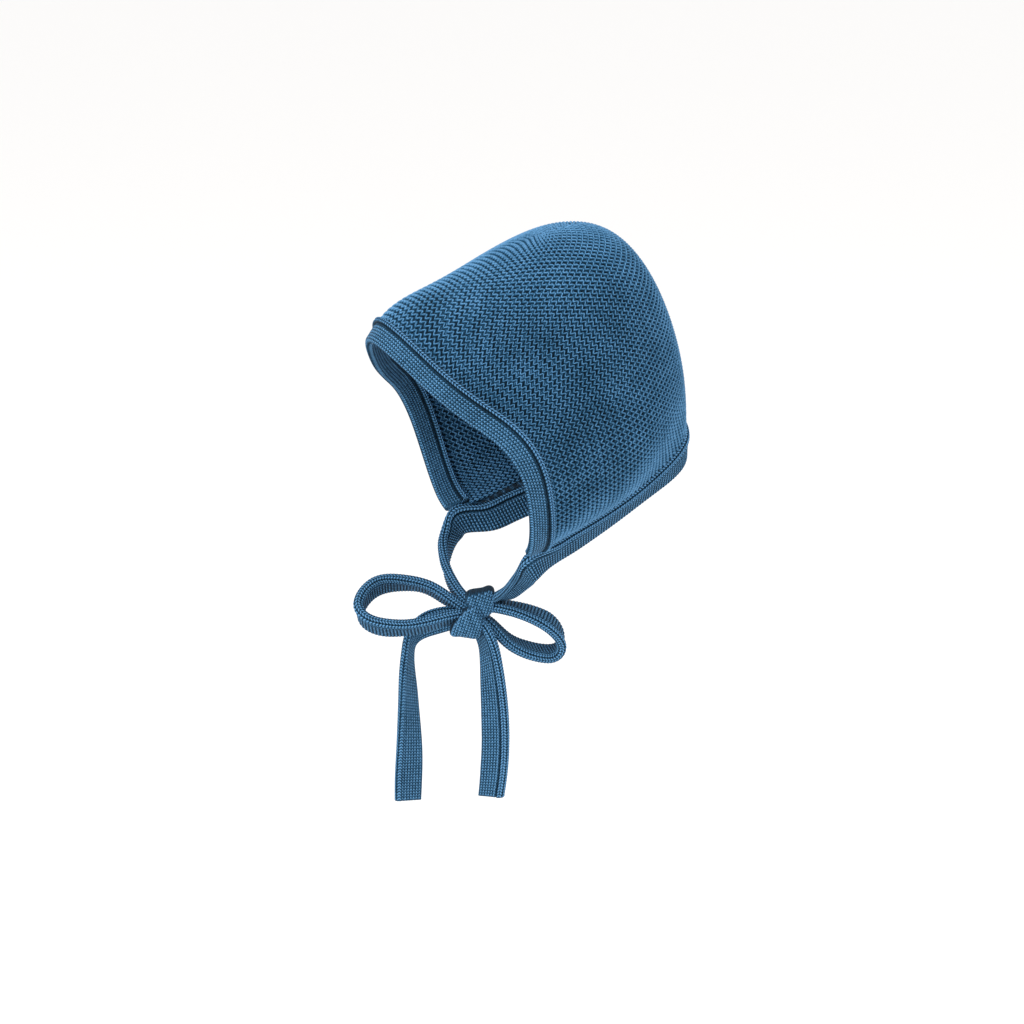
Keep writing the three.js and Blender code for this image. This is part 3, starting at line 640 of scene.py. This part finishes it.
strapRows = {
    # seam edge: side, up, out     plain edge: side, up, out     (mm from the knot)
    "chinLeft": [
        (21.1, 32.5, 29.3, 26.8, 22.7, 25.1),
        (18.6, 28.0, 25.8, 25.8, 19.9, 20.4),
        (16.4, 21.9, 19.6, 22.2, 14.2, 11.8),
        (13.1, 14.8, 12.5, 17.2, 8.2, 3.8),
        (9.5, 9.5, 6.0, 12.4, 4.8, -3.6),
        (4.2, 4.6, 1.0, 5.4, 1.4, -6.5),
    ],
    "chinRight": [
        (-11.5, 32.5, -34.6, -4.2, 23.6, -36.2),
        (-13.6, 28.2, -31.8, -5.6, 21.6, -37.6),
        (-14.7, 24.3, -26.5, -8.0, 19.4, -35.4),
        (-14.1, 20.4, -20.5, -10.5, 15.9, -31.2),
        (-12.3, 16.6, -14.0, -12.2, 11.4, -25.0),
        (-9.0, 12.4, -7.5, -11.4, 7.6, -18.3),
        (-5.1, 8.2, -2.5, -8.4, 4.1, -11.8),
        (-0.8, 4.4, 0.0, -3.0, 0.5, -8.0),
    ],
    "loopLeft": [
        (-2.0, 2.0, 2.0, -3.6, -1.0, -5.5),
        (-8.1, 5.5, 0.0, -10.5, -0.4, -9.8),
        (-13.3, 8.4, -2.9, -15.1, 1.2, -13.2),
        (-18.2, 10.6, -5.2, -19.6, 3.2, -15.5),
        (-23.3, 12.0, -6.6, -24.2, 4.4, -16.6),
        (-28.5, 13.0, -7.0, -29.0, 4.7, -16.6),
        (-33.5, 13.8, -6.8, -33.7, 4.7, -15.6),
        (-38.2, 14.2, -5.8, -38.1, 4.4, -13.8),
        (-42.3, 13.7, -3.8, -41.8, 3.6, -11.4),
        (-45.8, 12.0, -0.9, -44.9, 1.9, -8.5),
        (-48.3, 9.5, 2.4, -47.3, -0.6, -5.3),
        (-49.3, 6.7, 5.5, -48.5, -3.1, -2.6),
        (-48.1, 4.0, 8.0, -47.4, -5.7, -0.3),
        (-44.7, 1.6, 9.8, -44.0, -8.0, 1.4),
        (-39.7, 0.1, 10.6, -38.9, -9.4, 2.2),
        (-34.2, -0.7, 10.7, -33.4, -9.7, 2.0),
        (-28.8, -1.1, 10.1, -27.9, -9.4, 1.4),
        (-23.4, -0.8, 8.9, -22.6, -8.8, 0.7),
        (-17.8, 0.0, 7.5, -17.2, -7.4, 0.0),
        (-11.9, 1.0, 5.9, -11.7, -5.6, -1.0),
        (-5.0, 1.5, 3.6, -5.0, -3.4, -1.2),
    ],
    "loopRight": [
        (3.0, 2.2, 2.6, 3.6, 2.0, -5.4),
        (8.1, 2.8, 4.4, 8.9, 2.4, -6.6),
        (11.9, 2.4, 5.5, 13.0, 2.4, -6.9),
        (16.1, 1.6, 6.5, 17.6, 2.0, -6.1),
        (20.7, 0.2, 7.4, 22.5, 1.3, -5.2),
        (25.1, -1.7, 7.9, 27.2, 0.1, -4.5),
        (29.2, -4.1, 7.9, 31.5, -1.8, -4.4),
        (32.8, -6.9, 7.5, 35.0, -5.2, -4.9),
        (35.5, -9.8, 6.9, 37.1, -9.5, -5.7),
        (37.2, -12.9, 6.0, 37.4, -13.7, -6.6),
        (37.5, -16.0, 5.1, 35.8, -16.5, -7.4),
        (36.3, -18.8, 4.4, 33.4, -17.7, -7.8),
        (33.8, -20.5, 4.1, 30.3, -17.8, -7.8),
        (30.4, -20.7, 4.0, 26.5, -17.2, -7.6),
        (26.3, -19.9, 4.0, 22.2, -16.0, -7.4),
        (22.0, -18.4, 4.0, 18.1, -14.6, -7.4),
        (17.9, -16.3, 4.0, 14.3, -12.4, -7.5),
        (14.1, -13.5, 3.9, 10.9, -9.3, -7.5),
        (10.6, -9.8, 3.5, 7.9, -6.2, -7.2),
        (7.2, -5.9, 2.9, 5.0, -3.8, -6.4),
        (2.6, -2.0, 1.6, 1.0, -1.2, -5.0),
    ],
    "endLeft": [
        (-3.0, 0.4, -4.4, -3.6, -7.0, -6.8),
        (-7.9, 0.9, -4.8, -8.8, -10.0, -7.0),
        (-12.2, 0.8, -5.2, -12.8, -11.5, -7.2),
        (-17.0, -0.1, -5.3, -17.1, -12.8, -7.2),
        (-21.3, -1.7, -5.0, -20.9, -14.2, -7.6),
        (-25.0, -4.3, -4.2, -23.7, -16.0, -8.6),
        (-27.8, -8.0, -3.0, -25.5, -18.1, -9.8),
        (-29.5, -12.5, -2.1, -26.5, -20.9, -11.0),
        (-30.4, -17.6, -1.5, -26.8, -24.8, -11.2),
        (-31.3, -23.7, -1.1, -26.4, -29.9, -10.8),
        (-32.1, -31.4, -1.0, -25.5, -36.7, -10.4),
        (-32.7, -41.2, -1.0, -24.6, -45.5, -9.4),
        (-33.4, -53.1, -1.0, -23.6, -56.1, -8.1),
        (-34.2, -65.5, -1.0, -22.9, -67.3, -6.6),
        (-34.9, -76.8, -1.0, -23.1, -78.2, -5.8),
        (-35.1, -86.9, -1.0, -23.6, -88.0, -5.6),
    ],
    "endRight": [
        (2.0, -0.5, 4.4, -0.8, -6.6, -1.6),
        (4.7, -2.6, 6.4, 0.6, -10.6, -1.2),
        (7.5, -6.7, 7.8, 2.1, -14.9, -0.2),
        (9.7, -12.3, 8.0, 2.6, -19.6, 0.5),
        (11.4, -19.5, 7.9, 2.7, -25.4, 1.0),
        (12.8, -28.1, 7.5, 2.7, -32.4, 1.5),
        (13.9, -37.6, 7.0, 2.8, -40.5, 1.8),
        (14.6, -47.8, 6.5, 2.9, -49.7, 1.9),
        (14.7, -58.4, 6.1, 2.9, -60.0, 2.1),
        (14.2, -68.4, 6.0, 2.4, -69.9, 2.1),
        (13.3, -76.4, 6.0, 1.9, -77.6, 1.8),
        (12.4, -82.5, 6.0, 1.4, -83.3, 1.4),
    ],
}


def fromBow(rows):
    # side, up and out of the bow into the frame: knot + side s + up z + out o
    side, up, out = np.split(np.asarray(rows, float), 3, -1)
    return knotCentre + side * bowSide + up * np.array([0, 0, 1.0]) + out * bowOut


def bowRows(name):
    # seam edge and plain edge of a strap, in the frame
    rows = np.array(strapRows[name])
    return np.concatenate([fromBow(rows[:, :3]), fromBow(rows[:, 3:])], 1)


def neckRows():
    # the band hangs from the neck edge along the cloth, leaning out: across = unit(down + lean n);
    # its rolled edge laps up over the crown's outside
    back = 0.07 + 0.93 * np.arange(strap["neckRows"] + 1) / strap["neckRows"]
    edge, above = crownPoint(1.0, back), crownPoint(0.97, back)
    alongDown = unit(edge - above)
    alongBack = unit(crownPoint(1.0, np.minimum(back + 1e-3, 1)) - crownPoint(1.0, back - 1e-3))
    n = unit(np.cross(alongDown, alongBack))
    n[-1, 0] = 0
    n = unit(n)
    lean = spline(backKnots, strap["lean"])(back)[:, None]
    across = unit(alongDown + n * lean)
    hang = edge - n * crown["wall"] / 2 + alongDown * strap["hang"] * np.sin(np.arctan(lean))
    seam = hang + n * strap["proud"] - alongDown * strap["lap"]
    near = np.concatenate([seam, hang + across * strap["width"]], 1)
    far = near[:-1][::-1] * np.array([-1, 1, 1, -1, 1, 1])
    return np.concatenate([near, far])


def makeStrap(name, rows, ribs=1.0, roll=1.0):
    # a closed section carried along the splined middle of the rows; the lift is forward x across.
    # ribs and roll, from 0 to 1, say how far the flat part is ribbed and the seam edge rolled
    run = lengthAlong((rows[:, :3] + rows[:, 3:]) / 2)
    along, length = spline(run, rows), run[-1]
    run = np.linspace(0, length, int(length / strap["step"]) + 1)
    at, before, after = along(run), along(np.maximum(run - 0.5, 0)), along(np.minimum(run + 0.5, length))
    seam = at[:, :3]
    across = at[:, 3:] - seam
    width = np.linalg.norm(across, axis=-1)[:, None]
    across = unit(across)
    forward = (after[:, :3] + after[:, 3:]) - (before[:, :3] + before[:, 3:])
    forward = unit(forward - (forward * across).sum(-1, keepdims=True) * across)
    lift = np.cross(forward, across)
    run = run[:, None]
    # the flat part, from the groove over the top and round the plain edge, and back below:
    # level = half tip (1 - dip + dip groove) + line + ribs; tip rounds the plain edge off
    edge, last, dip = strap["edge"], strap["width"], strap["dip"]
    spans = (strap["groove"], 5.0, 8), (5.8, edge, 7), (11.5, last, 5)
    flat = np.concatenate([np.linspace(*span) for span in spans])
    tip = np.sqrt(np.clip(1 - (np.clip(flat - edge, 0, None) / (last - edge)) ** 2, 0, 1))
    groove = 1 - roll * (1 - np.clip((flat - strap["groove"]) / strap["grooveWidth"], 0, 1))
    line = roll * np.exp(-(((flat - strap["line"]) / strap["lineWidth"]) ** 2))
    rib = np.abs(np.cos(np.pi * run / strap["rib"])) ** 0.8
    level = strap["half"] * tip * (1 - dip + dip * groove) + strap["lineHeight"] * line
    level = level + strap["ribDepth"] * ribs * groove * tip * (1 - line) * (rib - 0.62)
    # the seam edge, an ellipse with chain columns round it: bump = chain round + legs
    chains = strap["chains"]
    angle = np.radians(np.linspace(*strap["rollTurns"], 6 * chains + 1))
    share = np.linspace(0, chains - 1e-4, 6 * chains + 1)
    rollA, rollB = strap["roll"][0], strap["half"] + roll * (strap["roll"][1] - strap["half"])
    column, legs = chainBumps(run, share[None], strap["stitch"])
    column[:, [0, -1]] = 0
    bump = strap["chain"] * column + strap["legs"] * (legs - 0.5) * np.clip(column * 3, 0, 1)
    bump = bump * (0.25 + 0.75 * roll)
    slope = unit(np.stack([np.cos(angle) / rollA, np.sin(angle) / rollB], -1))
    rollSide = strap["rollAt"] + rollA * np.cos(angle) + bump * slope[:, 0]
    rollHigh = rollB * np.sin(angle) + bump * slope[:, 1]
    flats = np.broadcast_to(flat, level.shape)
    side = np.concatenate([flats, flats[:, ::-1], rollSide], 1) * (width / strap["width"])
    high = np.concatenate([level, -level[:, ::-1], rollHigh], 1)
    grid = seam[:, None] + across[:, None] * side[..., None] + lift[:, None] * high[..., None]
    # crest: low in the groove and between ribs, high on the line and the chain columns: painted shade in the
    # groove and between ribs, painted highlight on the line and the chains
    body = (1 - ribs) * 0.74 + ribs * (0.06 + 0.78 * rib)
    body = (body * (1 - line) + 1.3 * line) * (0.1 + 0.9 * groove)
    rolled = roll * (0.05 + 1.30 * column * (0.75 + 0.25 * legs)) + (1 - roll) * 0.76
    crest = np.concatenate([body, body[:, ::-1], rolled], 1)
    # the small V stitches run along the roll, two chain columns to a V, and along the ends, and
    # run across the strap on the ribs, a V to a rib
    onRibs = np.broadcast_to(np.clip(groove - line, 0, 1) * ribs > 0.5, level.shape)
    flatRun = np.where(onRibs, flats, run)
    flatPlace = np.where(onRibs, (run / strap["rib"] + 0.5) * strap["stitch"], flats)
    rollPlace = np.broadcast_to(share * strap["stitch"] / 2, rollSide.shape)
    travel = np.concatenate([flatRun, flatRun[:, ::-1], np.broadcast_to(run, rollSide.shape)], 1)
    place = np.concatenate([flatPlace, flatPlace[:, ::-1], rollPlace], 1)
    print(name, "length mm", round(float(length), 1))
    return makeMesh(name, [(grid, crest, np.stack([travel, place], -1))], closed=True)


chinLeft, chinRight = bowRows("chinLeft"), bowRows("chinRight")
for chin in (chinLeft, chinRight):
    chin[0, 2] += 0.8 * strap["lap"]  # the lap fades out towards the chin
neckBand = np.concatenate([chinLeft[::-1], neckRows(), chinRight])
for node, rows, ribs, roll in (
    ("neck_band", neckBand, 1.0, 1.0),
    ("bow_loop_left", bowRows("loopLeft"), 1.0, 1.0),
    ("bow_loop_right", bowRows("loopRight"), 1.0, 1.0),
    ("tie_end_left", bowRows("endLeft"), 0.0, 0.15),
    ("tie_end_right", bowRows("endRight"), 0.0, 1.0),
):
    finish(makeStrap(node + "_knit", rows, ribs, roll), jerseyYarn, "band", node)
print("straps made")

# knot
knotRings = [
    # side  up  out  halfWidth  halfDepth
    (5.6, 9.6, -0.6, 2.4, 3.0),
    (4.9, 8.2, -0.6, 5.2, 6.0),
    (3.6, 5.6, -0.5, 6.8, 7.6),
    (2.0, 2.6, -0.2, 6.6, 7.9),
    (0.6, 0.0, 0.1, 6.0, 7.8),
    (-0.6, -2.6, 0.4, 6.6, 8.2),
    (-1.7, -5.4, 0.5, 7.2, 8.3),
    (-2.4, -8.2, 0.4, 6.4, 7.2),
    (-2.8, -9.8, 0.3, 3.6, 4.2),
]
knot = {
    "rings": (40, 48),  # mesh rows and columns of the core
    "shrink": (0.84, 0.9, 0.80),  # how far the core keeps inside the rings: side, up, out
    "tilt": 0.3,
    "pad": (41, 84),  # mesh rows and columns of a lump
    # the two lumps: outline from the bow's front (side, up), the depths of middle, front and back,
    # and where, in outline points, a chain edge runs along the rim
    "upper": (
        [(-2.9, 8.7), (2.9, 9.9), (6.2, 11.0), (8.7, 9.7), (8.5, 5.2), (8.1, 0.9), (5.4, -1.2), (2.4, -0.6),
         (-0.6, 2.2), (-3.4, 5.0)],
        0.0, 6.4, -7.6, 3.4,
    ),
    "lower": (
        [(-10.3, -8.8), (-8.6, -3.6), (-4.8, 1.6), (-1.2, 4.6), (2.4, 5.4), (4.2, 1.9), (4.6, -2.6),
         (3.7, -6.9), (3.1, -9.5), (-0.6, -10.5), (-5.6, -9.6)],
        1.5, 9.4, -6.4, 2.0,
    ),
}


def knotLump(outline, middle, front, back, light):
    # a pad: the outline splined round and drawn in by sin(polar)^0.55 towards both faces, its
    # depth +-|cos(polar)|^0.75 from middle to front or back, with soft creases on the front
    outline = np.array(outline, float)
    count, (rows, columns) = len(outline), knot["pad"]
    around = np.arange(-3, count + 4)
    turn = np.linspace(0, count, columns, endpoint=False)
    rim = spline(around, outline[around % count])(turn)
    polar = np.linspace(0.03, np.pi - 0.03, rows)[:, None]
    reach, height = np.sin(polar) ** 0.55, np.cos(polar)
    height = np.sign(height) * np.abs(height) ** 0.75
    centre = outline.mean(0)
    side = centre[0] + reach * (rim[:, 0] - centre[0])
    up = centre[1] + reach * (rim[:, 1] - centre[1])
    out = middle + np.where(height > 0, front - middle, middle - back) * height
    edge = np.exp(-(((turn - light) / 1.6) ** 2)) * np.exp(-(((polar - 0.95) / 0.16) ** 2))
    crease = 0.30 * np.sin(1.5 * side + 0.5 * up) * np.clip(height, 0, 1)
    side = side + 0.5 * edge * np.sign(rim[:, 0] - centre[0])
    out = out + 0.7 * edge + crease
    # crest: painted shade towards the rim where a lump rounds under, painted highlight on the chain edge and
    # on the creases
    crest = 0.78 - 0.66 * np.clip((reach - 0.80) / 0.20, 0, 1) ** 2 + 0.25 * crease + 0.9 * edge
    pattern = np.stack([side * 0.3 + up, side - 0.3 * up], -1)
    return fromBow(np.stack([side, up, out], -1)), crest, pattern


def makeKnot():
    # a core on rings splined from top to bottom, painted dark as shade under the two lumps of the knot over
    # it;
    # ring: side + width cos, out + depth sin, up - tilt width cos
    rows, columns = knot["rings"]
    rings = np.array(knotRings, float)
    at = spline(np.arange(len(rings)), rings)(np.linspace(0, len(rings) - 1, rows))
    side, up, out, width, depth = np.split(at, 5, -1)
    keepSide, keepUp, keepOut = knot["shrink"]
    turn = np.linspace(0, 2 * np.pi, columns, endpoint=False)
    side = side + keepSide * width * np.cos(turn)
    out = out + keepOut * depth * np.sin(turn)
    up = keepUp * up - knot["tilt"] * width * np.cos(turn)
    core = fromBow(np.stack([side, up, out], -1))
    grids = [(core, np.full(core.shape[:2], 0.42), np.stack([up, side], -1))]
    grids += [knotLump(*knot["upper"]), knotLump(*knot["lower"])]
    return makeMesh("bow_knot_knit", grids, closed=True)


finish(makeKnot(), jerseyYarn, "band", "bow_knot")
print("knot made")

# studio
studio = {
    "floor": -0.56,  # metres, as all of the studio
    "floorHalf": 9,
    "floorColour": (0.965, 0.96, 0.955, 1),
    "floorRoughness": 0.9,
    "world": 1.0,
    "worldColour": (1, 0.995, 0.99, 1),
    "aim": (0, -0.02, -0.08),
    # power, size and place of each lamp
    "key": (14.0, 0.9, (0.2, -1.3, 0.9)),
    "fill": (3.0, 1.2, (1.4, 0.6, 0.4)),
    "top": (4.2, 0.8, (0.1, 0.2, 1.3)),
}


def makeFloor():
    # a flat square, as a grid of 3 x 3 points in millimetres
    reach = np.linspace(-1000, 1000, 3) * studio["floorHalf"]
    plane = np.stack(np.broadcast_arrays(reach[:, None], reach[None], studio["floor"] * 1000), -1)
    floor = makeMesh("floor", [(plane, np.ones((3, 3)), np.zeros((3, 3, 2)))])
    paint = bpy.data.materials.new("floor_paint")
    paint.use_nodes = True
    shader = paint.node_tree.nodes["Principled BSDF"]
    shader.inputs["Base Color"].default_value = studio["floorColour"]
    shader.inputs["Roughness"].default_value = studio["floorRoughness"]
    floor.data.materials.append(paint)


def makeWorld():
    world = bpy.data.worlds.new("studio")
    world.use_nodes = True
    background = world.node_tree.nodes["Background"]
    background.inputs["Color"].default_value = studio["worldColour"]
    background.inputs["Strength"].default_value = studio["world"]
    bpy.context.scene.world = world


def makeLamp(name, power, size, place):
    # an area lamp whose back points from the aim to its place
    data = bpy.data.lights.new(name, "AREA")
    data.energy = power
    data.size = size
    lamp = bpy.data.objects.new(name, data)
    z = unit(np.array(place) - np.array(studio["aim"]))
    x = unit(np.cross([0, 0, 1.0], z))
    turned = Matrix(np.array([x, np.cross(z, x), z]).T.tolist()).to_4x4()
    lamp.matrix_world = Matrix.Translation(place) @ turned
    bpy.context.scene.collection.objects.link(lamp)


makeFloor()
makeWorld()
for name in ("key", "fill", "top"):
    makeLamp(name, *studio[name])
bpy.context.scene.view_settings.view_transform = "Standard"
print("studio made")
